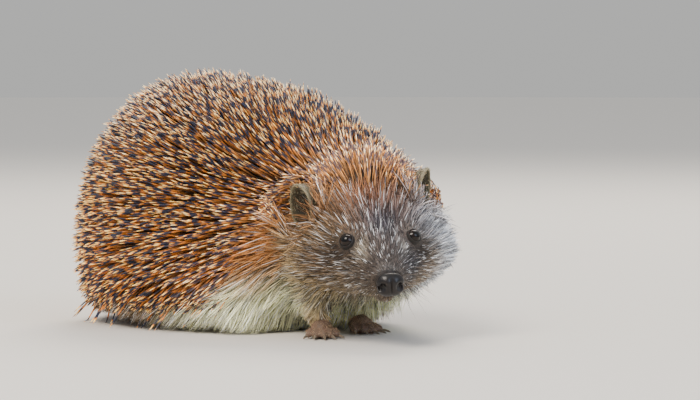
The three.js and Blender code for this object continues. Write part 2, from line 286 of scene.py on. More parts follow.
# %% Gather the flesh
BODY_NODES = ["back", "belly", "nape", "throat", "crown", "head", "muzzle", "lower_jaw", "tail"]
LIMBS = ["front_right", "front_left", "hind_right", "hind_left"]
LEG_NODES = [f"leg_{limb}" for limb in LIMBS]
FOOT_NODES = [f"foot_{limb}" for limb in LIMBS]
EAR_NODES = ["ear_right", "ear_left"]
CLOSE_GAPS = 0.35 * MM
BODY_VOXEL = 1.35 * MM
SMALL_VOXEL = 0.5 * MM


def swollen_copy(node, grow):
    """A welded copy of a solid, moved outwards all round."""
    shape = bmesh.new()
    shape.from_mesh(nodes[node].data)
    bmesh.ops.remove_doubles(shape, verts=shape.verts, dist=0.01 * MM)
    shape.normal_update()
    for vert in shape.verts:
        vert.co += vert.normal * grow
    return shape


def wrapped(shapes, voxel):
    """One closed mesh of even faces round some shapes."""
    whole = bmesh.new()
    for shape in shapes:
        part = mesh_from(shape, "part")
        whole.from_mesh(part)
        bpy.data.meshes.remove(part)
    holder = linked("wrapped", mesh_from(whole, "wrapped"))
    remesh = holder.modifiers.new("even faces", "REMESH")
    remesh.mode = "VOXEL"
    remesh.voxel_size = voxel
    depsgraph = bpy.context.evaluated_depsgraph_get()
    result = bpy.data.meshes.new_from_object(holder.evaluated_get(depsgraph))
    bpy.data.objects.remove(holder)
    return result


body_copies = [swollen_copy(node, CLOSE_GAPS) for node in BODY_NODES + LEG_NODES]
body_copies += [swollen_copy(node, 0) for node in ("eye_right", "eye_left", "nose")]
body_mesh = wrapped(body_copies, BODY_VOXEL)
print("wrapped body:", len(body_mesh.vertices), "points")

# %% [markdown]
# Numbers about every point of the skin, such as how deep the coat is there, are kept as arrays.
# Blurring an array over the mesh's edges softens the jump where spines meet fur. The same blur
# takes the steps of the voxels out of the surface itself.


# %% Arrays on a mesh
def numbers_of(items, name, width, kind=float):
    """What all points, edges or faces hold under a name, as rows of an array."""
    flat = np.empty(width * len(items), kind)
    items.foreach_get(name, flat)
    return flat.reshape(-1, width)


def points_of(mesh):
    return numbers_of(mesh.vertices, "co", 3)


def normals_of(mesh):
    return numbers_of(mesh.vertex_normals, "vector", 3)


def edges_of(mesh):
    return numbers_of(mesh.edges, "vertices", 2, int)


def nearest_distance(points, centres):
    """How far each point is from the nearest of some places, in millimetres."""
    return np.min([np.linalg.norm(points - np.array(c), axis=1) for c in centres], axis=0) / MM


def move_points(mesh, points):
    mesh.vertices.foreach_set("co", points.astype(np.float32).ravel())
    mesh.update()


def unit(vectors):
    return vectors / np.maximum(np.linalg.norm(vectors, axis=-1, keepdims=True), 1e-12)


def blurred(values, edges, rounds):
    """Values at the points of a mesh, averaged with their neighbours again and again."""
    values = np.array(values, float).reshape(len(values), -1)
    a, b = edges[:, 0], edges[:, 1]
    neighbours = np.maximum(np.bincount(edges.ravel(), minlength=len(values)), 1)
    for _ in range(rounds):
        around = np.stack(
            [
                np.bincount(a, column[b], len(column)) + np.bincount(b, column[a], len(column))
                for column in values.T
            ],
            axis=1,
        )
        values = (values + around / neighbours[:, None]) / 2
    return values


body_edges = edges_of(body_mesh)
move_points(body_mesh, blurred(points_of(body_mesh), body_edges, 4))
outer_points = points_of(body_mesh)
outer_normals = unit(blurred(normals_of(body_mesh), body_edges, 6))

# %% [markdown]
# How deep the skin lies under the tips of the coat differs from part to part. Spines are about
# 20 mm long and lean back, which makes a coat of 13 mm. The fur of the face is longest behind the
# cheeks and shrinks to less than a millimetre on the snout. Each point of the skin takes the
# depth of the solid it is nearest to.

# %% Depth of the coat
COAT_DEPTH = {"back": 13, "nape": 12, "crown": 9.5, "throat": 8, "belly": 6.5, "tail": 0.4}
COAT_DEPTH |= {leg: 1 for leg in LEG_NODES}
HEAD_BACKS = [3, 10, 18, 26, 34, 42, 50, 62]
HEAD_DEPTHS = [0.3, 0.5, 0.9, 1.5, 2.8, 4.6, 6.5, 8.5]
SPINY_NODES = ("back", "nape", "crown")
UNDERSIDE_TOP = 9 * MM
UNDERSIDE_DEPTH = 3.5
HEAD_END = 38
THIN_ROUND_EYES = ([4, 9], [0.25, 1])

owner_of_face, outer_corners, outer_faces = [], [], []
for owner, node in enumerate(BODY_NODES + LEG_NODES):
    solid = nodes[node].data
    first = len(outer_corners)
    outer_corners += [vert.co.copy() for vert in solid.vertices]
    outer_faces += [[first + i for i in face.vertices] for face in solid.polygons]
    owner_of_face += [owner] * len(solid.polygons)
outer_tree = BVHTree.FromPolygons(outer_corners, outer_faces)
owner = np.array([owner_of_face[outer_tree.find_nearest(p)[2]] for p in outer_points])
names = np.array(BODY_NODES + LEG_NODES)[owner]

outer_on_head = on_head(outer_points)
head_depth = np.interp(outer_on_head[:, 2], HEAD_BACKS, HEAD_DEPTHS)
depth = np.array([COAT_DEPTH.get(name, 0) for name in names])
furry_head = np.isin(names, ["head", "muzzle", "lower_jaw"])
depth = np.where(furry_head, head_depth, depth)
underside = (outer_points[:, 2] < UNDERSIDE_TOP) & (outer_normals[:, 2] < -0.5)
depth = np.where(underside & (names == "belly"), UNDERSIDE_DEPTH, depth)

keep_head = blurred(furry_head & (outer_on_head[:, 2] < HEAD_END), body_edges, 12)[:, 0]
depth = depth * keep_head + blurred(depth, body_edges, 45)[:, 0] * (1 - keep_head)
coat_near_eyes = np.interp(nearest_distance(outer_points, eyes.values()), *THIN_ROUND_EYES)
depth *= coat_near_eyes
spiny = blurred(np.isin(names, SPINY_NODES), body_edges, 5)[:, 0]
inner_points = outer_points - outer_normals * depth[:, None] * MM
inner_points = np.where(depth[:, None] > 3, blurred(inner_points, body_edges, 10), inner_points)
print("coat depth, mm:", depth.min().round(2), "to", depth.max().round(2))

# %% [markdown]
# An ear is a thin bowl that stands half in the coat. The skin behind it is drawn up or down to
# the bowl's back, so that the ear grows from the head, and the hollow stays open. In the same
# way the skin behind the nose pad is drawn back, to leave room for the nostrils.

# %% Seats of the ears and the nose
EAR_HALF = np.array([7.6, 11, 5.6])
EAR_TURN = radians(60)
EAR_PLACES = {"right": (28.6, 13, 58), "left": (-24.5, 16.5, 58)}
EAR_REACH = 11
EAR_SEAT_EDGE = 0.95
EAR_OVERLAP = 0.5

ear_axes = {}
for side, place in EAR_PLACES.items():
    way = 1 if side == "right" else -1
    across = rightward * cos(EAR_TURN) - forward * way * sin(EAR_TURN)
    into = -forward * cos(EAR_TURN) - rightward * way * sin(EAR_TURN)
    ear_axes[side] = np.array([across, upward, into])


def on_ear(points, side):
    """Places as shares of the ear's half width and half height, and millimetres into it."""
    centre = np.array(from_head(*EAR_PLACES[side]))
    local = (np.asarray(points) - centre) @ ear_axes[side].T / MM
    return local[:, 0] / EAR_HALF[0], local[:, 1] / EAR_HALF[1], local[:, 2]


NOSE_HALF = np.array([6.1, 5.3, 4.8])
NOSE_MIDDLE = np.array([0, -0.7, 3.6])
NOSE_SEAT_EDGE = 1.03
NOSE_SEAT_SIZE = 0.45
NOSE_SEAT_BACK = 1.6

in_ear = np.zeros(len(inner_points), bool)
for side in EAR_PLACES:
    across, up, into = on_ear(inner_points, side)
    from_middle = across**2 + up**2
    seat = EAR_HALF[2] * np.sqrt(np.clip(1 - from_middle, 0, 1)) - EAR_OVERLAP
    inside = (from_middle < EAR_SEAT_EDGE) & (np.abs(into) < EAR_REACH)
    shift = np.where(inside, seat - into, 0)[:, None] * ear_axes[side][2] * MM
    inner_points = inner_points + shift
    in_ear |= inside
nose_share = (on_head(inner_points) - NOSE_MIDDLE) / NOSE_HALF
in_nose = np.linalg.norm(nose_share, axis=1) < NOSE_SEAT_EDGE
seat = NOSE_MIDDLE + nose_share * NOSE_HALF * NOSE_SEAT_SIZE + np.array([0, 0, NOSE_SEAT_BACK])
seat = np.array(nose_tip) + seat @ head_axes * MM
inner_points = np.where(in_nose[:, None], seat, inner_points)
near_ear = blurred(in_ear, body_edges, 3)
softened = blurred(inner_points, body_edges, 3)
inner_points = inner_points * (1 - near_ear) + softened * near_ear
move_points(body_mesh, inner_points)
print("points of skin behind the ears:", int(in_ear.sum()))

# %% [markdown]
# Feet, toes and ears are too fine for the body's voxels. They are wrapped on their own with
# smaller ones, smoothed, and joined to the body's skin as one mesh. The ear starts as a ball
# squashed to the ear's size. Its open side is cut away, and what is left gets a thin wall and
# is narrowed towards the notch at its foot.

# %% Feet and ears
EAR_WALL = 0.8
EAR_RIM = -0.6
EAR_NARROWING = 0.16
EAR_TIP_BEND = 1.3
EAR_VOXEL = 0.4 * MM


def ear_cup(side):
    shape = bmesh.new()
    bmesh.ops.create_uvsphere(shape, u_segments=36, v_segments=24, radius=1)
    bmesh.ops.scale(shape, vec=EAR_HALF, verts=shape.verts)
    bmesh.ops.bisect_plane(
        shape, geom=shape.verts[:] + shape.edges[:] + shape.faces[:], dist=1e-4,
        plane_co=(0, 0, EAR_RIM), plane_no=(0, 0, -1), clear_outer=True,
    )
    bmesh.ops.recalc_face_normals(shape, faces=shape.faces)
    bmesh.ops.solidify(shape, geom=shape.faces[:], thickness=EAR_WALL)
    centre = np.array(from_head(*EAR_PLACES[side]))
    for vert in shape.verts:
        x, y, z = vert.co
        x *= 1 - EAR_NARROWING * max(0.0, -y / EAR_HALF[1])
        z -= EAR_TIP_BEND * max(0.0, y / EAR_HALF[1]) ** 2 * (z < 2)
        vert.co = centre + np.array([x, y, z]) @ ear_axes[side] * MM
    bmesh.ops.recalc_face_normals(shape, faces=shape.faces)
    return shape


def fine_part(shape, voxel, rounds):
    mesh = wrapped([shape], voxel)
    move_points(mesh, blurred(points_of(mesh), edges_of(mesh), rounds))
    return mesh


fine_parts = {
    node: fine_part(swollen_copy(node, 0.2 * MM), SMALL_VOXEL, 3) for node in FOOT_NODES
}
fine_parts |= {f"ear_{side}": fine_part(ear_cup(side), EAR_VOXEL, 2) for side in EAR_PLACES}
print("feet and ears:", sum(len(mesh.polygons) for mesh in fine_parts.values()), "faces")

# %% [markdown]
# The lids are a ring of bare skin round each eye. A profile that hugs the ball, turns over a
# rounded rim and runs out into the face is spun once round the way the eye looks. It is a
# little wider than high, as the real opening is.

# %% Lids
LID_PROFILE = [(2.8, -0.4), (2.8, 1.5), (2.84, 1.78), (2.95, 1.86), (3.1, 1.7), (3.25, 1.25)]
LID_PROFILE += [(3.5, 0.2), (3.5, -1.4), (3.0, -1.4)]
LID_STRETCH = 1.04

body_normals = normals_of(body_mesh)
eye_looks = {}
for side, centre in eyes.items():
    near = np.linalg.norm(inner_points - np.array(centre), axis=1) < 8 * MM
    eye_looks[side] = Vector(unit(body_normals[near].mean(axis=0)))
    print(side, "eye looks along", [round(v, 2) for v in eye_looks[side]])


def eye_matrix(side):
    """Turns +Z to where the eye looks and +X to the front of the head."""
    look = eye_looks[side]
    across = (forward - look * forward.dot(look)).normalized()
    turned = Matrix((across, look.cross(across), look)).transposed()
    return Matrix.Translation(eyes[side]) @ turned.to_4x4()


def lid_ring(side):
    shape = bmesh.new()
    ring = [shape.verts.new((r * MM, 0, h * MM)) for r, h in LID_PROFILE]
    loop = [shape.edges.new((a, b)) for a, b in zip(ring, ring[1:] + ring[:1])]
    bmesh.ops.spin(
        shape, geom=ring + loop, axis=(0, 0, 1), cent=(0, 0, 0), steps=40, angle=radians(360),
        use_merge=True,
    )
    bmesh.ops.remove_doubles(shape, verts=shape.verts, dist=0.005 * MM)
    bmesh.ops.subdivide_edges(shape, edges=shape.edges, cuts=1, smooth=1, use_grid_fill=True)
    bmesh.ops.recalc_face_normals(shape, faces=shape.faces)
    bmesh.ops.scale(shape, vec=(LID_STRETCH, 1, 1), verts=shape.verts)
    bmesh.ops.transform(shape, matrix=eye_matrix(side), verts=shape.verts)
    return mesh_from(shape, "lid")


fine_parts |= {f"lid_{side}": lid_ring(side) for side in eyes}

# %% Join the skin
whole_skin = bmesh.new()
whole_skin.from_mesh(body_mesh)
body_count = len(body_mesh.vertices)
parts_start = {}
for name, mesh in fine_parts.items():
    whole_skin.verts.ensure_lookup_table()
    parts_start[name] = len(whole_skin.verts)
    whole_skin.from_mesh(mesh)
bmesh.ops.triangulate(whole_skin, faces=whole_skin.faces)
skin_mesh = mesh_from(whole_skin, "hedgehog_skin")
skin_mesh.shade_smooth()
skin = linked("hedgehog_skin", skin_mesh)
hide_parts(*BODY_NODES, *LEG_NODES, *FOOT_NODES, *EAR_NODES)
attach(skin, "root")
print("skin:", len(skin_mesh.polygons), "triangles")

# %% [markdown]
# The skin is unwrapped by its own shape. Every spine and hair later takes a small patch at its
# root's place on this unwrap, so that its colours can be baked without mixing with others.

# %% Unwrap the skin
skin_mesh.uv_layers.new(name="OFBake")
bpy.context.view_layer.objects.active = skin
skin.select_set(True)
bpy.ops.object.mode_set(mode="EDIT")
bpy.ops.mesh.select_all(action="SELECT")
bpy.ops.uv.smart_project(angle_limit=radians(66), island_margin=0.002)
bpy.ops.object.mode_set(mode="OBJECT")
skin.select_set(False)

triangles = numbers_of(skin_mesh.polygons, "vertices", 3, int)
skin_uv = numbers_of(skin_mesh.uv_layers["OFBake"].data, "uv", 2).reshape(-1, 3, 2)
skin_points = points_of(skin_mesh)
skin_normals = normals_of(skin_mesh)
print("unwrap reaches", skin_uv.min().round(3), "to", skin_uv.max().round(3))

# %% [markdown]
# ## Markings
# The coat's colours change softly from place to place: a dark mask round the eyes, a pale streak
# from eye to nose, rusty hair round the ears, a cream skirt under the flank. One function answers
# for the colour at any point, and the skin and every hair ask it, so they always agree. It lays
# large fields of colour over one another first, and then the small patches of the face.


# %% Patches of the face
# Colour, its strength, the middle of the patch and its reach: to the right, up and back.
FACE_PATCHES = [
    ("#9C6638", 0.95, (27, 14, 55), (13, 16, 15)),  # rust round the ears
    ("#9A6A42", 0.6, (-26, 20, 58), (9, 12, 12)),
    ("#D8C8A0", 0.65, (25, -7, 52), (10, 9, 12)),  # cream under the right ear
    ("#A8623C", 0.9, (0, 26, 40), (26, 13, 15)),  # rust over the forehead
    ("#A8642F", 0.8, (0, 36, 48), (30, 10, 12)),
    ("#3C4456", 0.9, (-2, 11, 30), (12, 10, 13)),  # slate between the eyes
    ("#3E4858", 0.85, (-9, 0, 20), (7, 8, 8)),
    ("#2E2621", 0.95, (14.5, 5.5, 28), (8, 7.5, 10)),  # the mask round the eyes
    ("#2E2A2A", 0.95, (-14.5, 5.5, 28), (7.5, 7.5, 10)),
    ("#5F4737", 0.75, (21, -1, 35), (10, 7, 9)),
    ("#C4B8A0", 0.7, (8, 6.5, 20), (2.4, 3.2, 5)),  # pale streaks from eye to nose
    ("#A8A29A", 0.65, (-8, 6.5, 20), (2.4, 3.2, 5)),
    ("#3A3436", 0.85, (0, 3, 14), (9, 7, 10)),  # the dark snout
    ("#6E6C6C", 0.6, (0, 4.5, 6.5), (6, 3, 2.5)),
    ("#7A6E54", 0.7, (6, -13, 22), (14, 6, 16)),  # chin
]


# %% Colours of the coat
# The skirt's height over the floor falls from 33 to 21 mm between these places behind the nose.
SKIRT_TOP = ([45, 105], [33, 21])


def near_place(places, middle, reach):
    """1 at the middle of a patch and falling to 0 all round."""
    away = (places - np.array(middle)) / np.array(reach)
    return np.exp(-np.sum(away**2, axis=1))


def step(values, start, end):
    """0 before start, 1 after end and smooth between."""
    share = np.clip((values - start) / (end - start), 0, 1)
    return share * share * (3 - 2 * share)


def coat_colour(points, shade_under_spines):
    """Linear colours of fur and skin at some points, with painted shade on the skin under spines.
    """
    h = on_head(points)
    side, up, back = h.T
    right_cheek = step(side, 4, 22)
    painted_light_left_cheek = step(-side, 4, 22)
    tint = np.tile(rgb("#8F7A5F"), (len(points), 1))

    def blend(code, share):
        nonlocal tint
        tint = tint + (rgb(code) - tint) * np.clip(share, 0, 1)[:, None]

    height = points[:, 2] / MM
    behind_head = step(back, 46, 62)
    blend("#66594E", (1 - step(back, 12, 30)) * 0.85)  # the front of the face
    skirt_top = np.interp(back, *SKIRT_TOP)
    above_skirt = step(height - skirt_top, -8, 10)
    blend("#F0F2D0", step(back, 42, 60) * (1 - above_skirt))  # cream skirt
    blend("#BE8246", step(back, 40, 56) * above_skirt * (1 - behind_head * 0.1))  # rust above it
    blend("#8D8468", step(back, 40, 60) * (1 - step(height, 5, 19)) * 0.75)  # greyer and darker towards the floor
    blend("#6A5238", step(back, 74, 94) * 0.92)  # brown at the rear
    blend("#B39A70", right_cheek * step(back, 26, 40) * (1 - step(back, 50, 64)) * 0.7)
    # Painted light: the left cheek is made pale and bluish for the skylight that falls on it from
    # the right.
    cheek_depth = step(back, 24, 38) * (1 - step(back, 54, 76))
    blend("#DADFE6", painted_light_left_cheek * cheek_depth * (1 - step(up, 16, 36)) * 0.95)
    for code, strength, middle, reach in FACE_PATCHES:
        blend(code, near_place(h, middle, reach) * strength)
    # Painted shade: skin under the spines is darkened, as it lies in their shade.
    blend("#3A2F26", shade_under_spines * 0.92)
    return np.clip(tint, 0, 1)


# %% [markdown]
# ## Where the coat grows
# Roots are strewn over the skin's triangles with a seeded random generator, each triangle getting
# as many as its area and the wanted spacing ask for. Every root keeps what is needed to grow a
# hair: its place, the skin's normal, its place on the unwrap, and the coat's depth and the
# length of hair there.

# %% Numbers carried by the skin
BARE_ROUND_EYES = (3.3, 3.7)
NOSE_HAIRLINE = 0.97

outside_body = len(skin_points) - body_count
skin_depth = np.concatenate([depth, np.full(outside_body, 0.6)])
skin_spiny = np.concatenate([spiny, np.zeros(outside_body)])
growing = np.concatenate([1.0 - near_ear[:, 0], np.zeros(outside_body)])
growing *= step(nearest_distance(skin_points, eyes.values()), *BARE_ROUND_EYES)
from_nose = np.linalg.norm((on_head(skin_points) - NOSE_MIDDLE) / NOSE_HALF, axis=1)
growing *= from_nose > NOSE_HAIRLINE

corner = skin_points[triangles]
cross = np.cross(corner[:, 1] - corner[:, 0], corner[:, 2] - corner[:, 0])
triangle_areas = np.linalg.norm(cross, axis=1) / 2
print("skin area, square mm:", int(triangle_areas.sum() / MM**2))


# %% Strewing roots
def strew(share, spacing, seed):
    """Roots over the skin, spacing metres apart on average where the share is 1."""
    rng = np.random.default_rng(seed)
    mean_share = share[triangles].mean(axis=1)
    chosen = np.repeat(
        np.arange(len(triangles)), rng.poisson(triangle_areas * mean_share / spacing**2)
    )
    a, b = np.sort(rng.random((2, len(chosen))), axis=0)
    weights = np.stack([a, b - a, 1 - b], axis=1)[:, :, None]

    def at_roots(values):
        return (values[triangles[chosen]] * weights).sum(axis=1)

    order = rng.permutation(len(chosen))
    return {
        "place": at_roots(skin_points)[order],
        "normal": unit(at_roots(skin_normals))[order],
        "uv": (skin_uv[chosen] * weights).sum(axis=1)[order],
        "depth": at_roots(skin_depth[:, None])[order, 0],
        "hair": at_roots(skin_hair[:, None])[order, 0],
    }


def pick(roots, keep):
    return {name: values[keep] for name, values in roots.items()}


def evenly_spaced(roots, gap):
    """Leaves out roots that are nearer than the gap to one before them."""
    kept = {}
    keep = np.zeros(len(roots["place"]), bool)
    steps = [(x, y, z) for x in (-1, 0, 1) for y in (-1, 0, 1) for z in (-1, 0, 1)]
    for i, (place, cell) in enumerate(
        zip(roots["place"].tolist(), np.floor(roots["place"] / gap).astype(int).tolist())
    ):
        near = (
            other
            for s in steps
            for other in kept.get((cell[0] + s[0], cell[1] + s[1], cell[2] + s[2]), ())
        )
        if all(sum((p - q) ** 2 for p, q in zip(place, other)) > gap * gap for other in near):
            kept.setdefault(tuple(cell), []).append(place)
            keep[i] = True
    return pick(roots, keep)


# %% Lengths and regions of the fur
HAIR_LENGTHS = [1.6, 3, 4.8, 7, 10.5, 14, 17, 18]
HAIR_LENGTH = {"throat": 21, "belly": 18, "tail": 2.5, "back": 16, "nape": 15, "crown": 12}
HAIR_LENGTH |= {leg: 4 for leg in LEG_NODES}
HAIR_PROFILE = [(0, 1.0), (0.35, 0.95), (0.7, 0.65), (1, 0)]
SHORT_AT_REAR = ([85, 120], [1, 0.5])
FACE_FROM, CHEEKS_FROM = 23, 38

hair = np.array([HAIR_LENGTH.get(name, 3) for name in names], float)
hair = np.where(furry_head, np.interp(outer_on_head[:, 2], HEAD_BACKS, HAIR_LENGTHS), hair)
hair = hair * keep_head + blurred(hair, body_edges, 20)[:, 0] * (1 - keep_head)
hair *= coat_near_eyes
hair *= np.interp(outer_on_head[:, 2], *SHORT_AT_REAR)
skin_hair = np.concatenate([hair, np.full(outside_body, 2.0)])
skin_names = np.concatenate([names, np.full(outside_body, "", dtype="U20")])
for name, first in parts_start.items():
    skin_names[first:] = name
skin_back = on_head(skin_points)[:, 2]
furry = growing * (1 - step(skin_spiny, 0.35, 0.75))
on_face = np.isin(skin_names, ["head", "muzzle", "lower_jaw", "crown"])
on_belly = np.isin(skin_names, ["belly", "back"])
regions = {
    "snout": furry * (on_face & (skin_back < FACE_FROM)),
    "face": furry * (on_face & (skin_back >= FACE_FROM) & (skin_back < CHEEKS_FROM)),
    "cheeks": furry * (on_face & (skin_back >= CHEEKS_FROM)),
    "throat": furry * np.isin(skin_names, ["throat", "nape"]),
    "belly_right": furry * (on_belly & (skin_points[:, 1] < 0)),
    "belly_left": furry * (on_belly & (skin_points[:, 1] >= 0)),
    "legs": growing * np.isin(skin_names, LEG_NODES + ["tail"]),
    "ears": 1.0 * np.isin(skin_names, EAR_NODES),
    "feet": np.isin(skin_names, FOOT_NODES) * step(skin_normals[:, 2], 0.1, 0.5),
}

# %% [markdown]
# The coat lies away from the face: on the snout it runs back from the nose, on the trunk from
# the forehead to the rump, and the long hair of the skirt is drawn down by its weight. Near the
# eyes it turns aside.


# %% The lie of the coat
EYE_PUSH = 1.6
EYE_PUSH_FADE = 2.2


def lie_of_coat(roots, pole, sag):
    """Unit directions along the skin, away from a pole."""
    away = unit(roots["place"] - np.array(pole))
    away[:, 2] -= sag
    for centre in eyes.values():
        from_eye = roots["place"] - np.array(centre)
        distance = np.linalg.norm(from_eye, axis=1, keepdims=True)
        push = EYE_PUSH * np.exp(-(distance / MM - 4) / EYE_PUSH_FADE)
        away += push * from_eye / distance
    normal = roots["normal"]
    return unit(away - (away * normal).sum(axis=1, keepdims=True) * normal)


# %% [markdown]
# A spine and a hair are both a thin tapered strand: a few rings of points along a curve, closed
# by a flat base under the skin and a point at the tip. The strands of a piece differ only in
# numbers, so all are made at once as arrays. Each strand carries how far along it a point is, a
# random shade of its own, and the colour of the coat at its root.

# %% Faces of one strand
def strand_faces(rings, sides):
    """The triangles of one strand, and for each corner its place round and along the strand."""
    faces, wraps = [], []
    for k in range(rings - 1):
        for s in range(sides):
            low, high = k * sides, (k + 1) * sides
            t = (s + 1) % sides
            faces += [(low + s, low + t, high + t), (low + s, high + t, high + s)]
            wraps += [((s, k), (s + 1, k), (s + 1, k + 1)), ((s, k), (s + 1, k + 1), (s, k + 1))]
    last = (rings - 1) * sides
    for s in range(sides):
        faces.append((last + s, last + (s + 1) % sides, rings * sides))
        wraps.append(((s, rings - 1), (s + 1, rings - 1), (s + 0.5, rings)))
    for s in range(1, sides - 1):
        faces.append((0, s + 1, s))
        wraps.append(((0, 0), (s + 1, 0), (s, 0)))
    return np.array(faces), np.array(wraps, float)


# %% A piece of many strands
PATCH = 0.003
FLOOR_CLEARANCE = 0.4 * MM
ROOT_SINK = 0.4 * MM
ROOT_SHARE = 0.04


def grow_strands(
    name, roots, start, end, length, radius, profile, sides, shade, tint, clump=None
):
    """A mesh piece of strands. Profile pairs the place along a strand with its share of radius."""
    along = np.array([place for place, _ in profile])
    girth = np.array([share for _, share in profile])
    count, rings = len(length), len(profile) - 1
    t = along[None, :, None]
    sink = np.minimum(ROOT_SINK, length * ROOT_SHARE)
    line = roots["place"][:, None] - roots["normal"][:, None] * sink[:, None, None]
    line = line + length[:, None, None] * (
        start[:, None] * (t - t**2 / 2) + end[:, None] * t**2 / 2
    )
    if clump is not None:
        line = line + clump[:, None] * t**2
    clearance = FLOOR_CLEARANCE + radius[:, None] * girth[None]
    line[:, :, 2] = np.maximum(line[:, :, 2], clearance)

    helper = np.where(np.abs(start[:, 2:]) > 0.9, [[1.0, 0, 0]], [[0, 0, 1.0]])
    u = unit(np.cross(helper, start))
    v = np.cross(start, u)
    angle = 2 * np.pi * np.arange(sides) / sides
    ring = u[:, None] * np.cos(angle)[None, :, None] + v[:, None] * np.sin(angle)[None, :, None]
    thick = radius[:, None] * girth[None, :rings]
    tube = line[:, :rings, None] + ring[:, None] * thick[:, :, None, None]
    points = np.concatenate([tube.reshape(count, -1, 3), line[:, rings:]], axis=1)
    per_strand = points.shape[1]

    faces, wraps = strand_faces(rings, sides)
    all_faces = faces[None] + per_strand * np.arange(count)[:, None, None]
    wrap_along = along[wraps[:, :, 1].astype(int)]
    patch = np.stack([wraps[:, :, 0] / sides, wrap_along], axis=2)
    uv = roots["uv"][:, None, None] + (patch[None] - 0.5) * PATCH
    along_points = np.append(np.repeat(along[:rings], sides), 1.0)

    mesh = bpy.data.meshes.new(name)
    mesh.vertices.add(count * per_strand)
    mesh.vertices.foreach_set("co", points.astype(np.float32).ravel())
    mesh.loops.add(all_faces.size)
    mesh.loops.foreach_set("vertex_index", all_faces.astype(np.int32).ravel())
    mesh.polygons.add(all_faces.size // 3)
    mesh.polygons.foreach_set("loop_start", np.arange(0, all_faces.size, 3, dtype=np.int32))
    mesh.update(calc_edges=True)
    mesh.uv_layers.new(name="OFBake").data.foreach_set("uv", uv.astype(np.float32).ravel())
    values = {"along": np.tile(along_points, count), "shade": np.repeat(shade, per_strand)}
    for attribute, value in values.items():
        layer = mesh.attributes.new(attribute, "FLOAT", "POINT")
        layer.data.foreach_set("value", value.astype(np.float32))
    tints = np.concatenate([tint, np.ones((count, 1))], axis=1)
    layer = mesh.attributes.new("marking", "FLOAT_COLOR", "POINT")
    layer.data.foreach_set("color", np.repeat(tints, per_strand, axis=0).astype(np.float32).ravel())
    mesh.shade_smooth()
    piece = linked(name, mesh)
    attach(piece, "root")
    print(name, count, "strands,", len(mesh.polygons), "triangles")
    return piece


# %% [markdown]
# Two functions guide the strands. One draws in the tips that would stick out of the solids, so
# that the outline stays that of the animal. The other gives each strand a direction that brings
# its tip to the wanted share of the coat's depth.


# %% Guiding the strands
SKIRT_HEM = 9 * MM


def held_in(roots, start, end, length, raggedness, rng, hem=SKIRT_HEM):
    """How far tips that are above the hem move, to end near the outline of the solids."""
    tips = roots["place"] + (start + end) / 2 * length[:, None]
    moves = np.zeros_like(tips)
    limits = rng.uniform(-raggedness, raggedness, len(tips)) * MM
    for i, (tip, limit) in enumerate(zip(tips, limits)):
        place, normal, _, distance = outer_tree.find_nearest(Vector(tip))
        away = Vector(tip) - place
        is_out = away.dot(normal) > 0
        outside = distance if is_out else -distance
        if outside > limit and tip[2] > hem:
            way = away.normalized() if is_out else normal
            moves[i] = way * (limit - outside)
    return moves


def lifted(roots, lie, length, reach, jitter, rng, flattest=0.05):
    """Directions that bring tips to a share of the coat's depth above the skin."""
    rise = np.clip(reach * roots["depth"] * MM / length, flattest, 0.95)[:, None]
    out = lie * np.sqrt(1 - rise**2) + roots["normal"] * rise
    return unit(out + rng.normal(0, jitter, out.shape))


# %% [markdown]
# ## Spines
# A hedgehog has five to seven thousand spines, each a hollow hair 20 to 22 mm long. Here they are
# closer and thinner, about ten thousand of three quarters of a millimetre, so that the coat's
# pattern stays fine. They overlap like thatch, with enough disorder that no rows show.

# %% Grow the spines
SPINE_LENGTH = 20 * MM
SPINE_RADIUS = 0.38 * MM
SPINE_GAP = 1.27 * MM
SPINE_TRIES = 0.8 * MM
SPINE_SIDES = 5
SPINE_PROFILE = [(0, 0.6), (0.3, 1.0), (0.78, 0.85), (0.93, 0.45), (1, 0)]
SPINE_LIFT = (0.78, 1.08)
SPINE_DISORDER = 0.15
SPINE_RAGGEDNESS = 1.6
LOWEST_TIP = 2.5 * MM
# Each pairs places in millimetres with the share that is left there.
SHORT_ON_BROW = ([35, 70], [0.72, 1])
SHORT_BY_EARS = ([10, 24], [0.55, 1])
SHORT_AT_HEM = ([5, 16], [0.75, 1])
FLAT_AT_HEM = ([8, 26], [0.6, 1])
FLAT_BY_EARS = ([10, 24], [0.35, 1])
THIN_ON_BROW = ([42, 85], [0.6, 1])

rng = np.random.default_rng(11)
spine_roots = evenly_spaced(strew(growing * (skin_spiny > 0.4), SPINE_TRIES, 1), SPINE_GAP)
spine_places = spine_roots["place"]
spine_count = len(spine_places)
spine_height = spine_places[:, 2] / MM
spine_back = on_head(spine_places)[:, 2]
ear_distance = nearest_distance(spine_places, [from_head(*p) for p in EAR_PLACES.values()])
spine_sag = 0.18 + 1.0 * step(-spine_height, -36, -12)
spine_lie = lie_of_coat(spine_roots, from_head(2, 8, 34), spine_sag)
spine_length = SPINE_LENGTH * np.interp(spine_back, *SHORT_ON_BROW)
spine_length *= np.interp(ear_distance, *SHORT_BY_EARS)
spine_length *= rng.uniform(0.9, 1.06, spine_count)
spine_length *= np.interp(spine_height, *SHORT_AT_HEM)
spine_reach = rng.uniform(*SPINE_LIFT, spine_count)
spine_reach *= np.interp(spine_height, *FLAT_AT_HEM)
spine_reach *= np.interp(ear_distance, *FLAT_BY_EARS)
spine_start = lifted(spine_roots, spine_lie, spine_length, spine_reach, SPINE_DISORDER, rng)
spine_end = unit(spine_start + spine_lie * 0.15)
low = spine_places[:, 2] + spine_length * spine_end[:, 2] < LOWEST_TIP
level = (LOWEST_TIP - spine_places[:, 2]) / spine_length
spine_end[low, 2] = level[low]
spine_start[low, 2] = level[low]
spine_start, spine_end = unit(spine_start), unit(spine_end)
spine_shade = rng.random(spine_count)
spine_radius = SPINE_RADIUS * np.interp(spine_back, *THIN_ON_BROW)
spine_moves = held_in(
    spine_roots, spine_start, spine_end, spine_length, SPINE_RAGGEDNESS, rng, hem=0
)
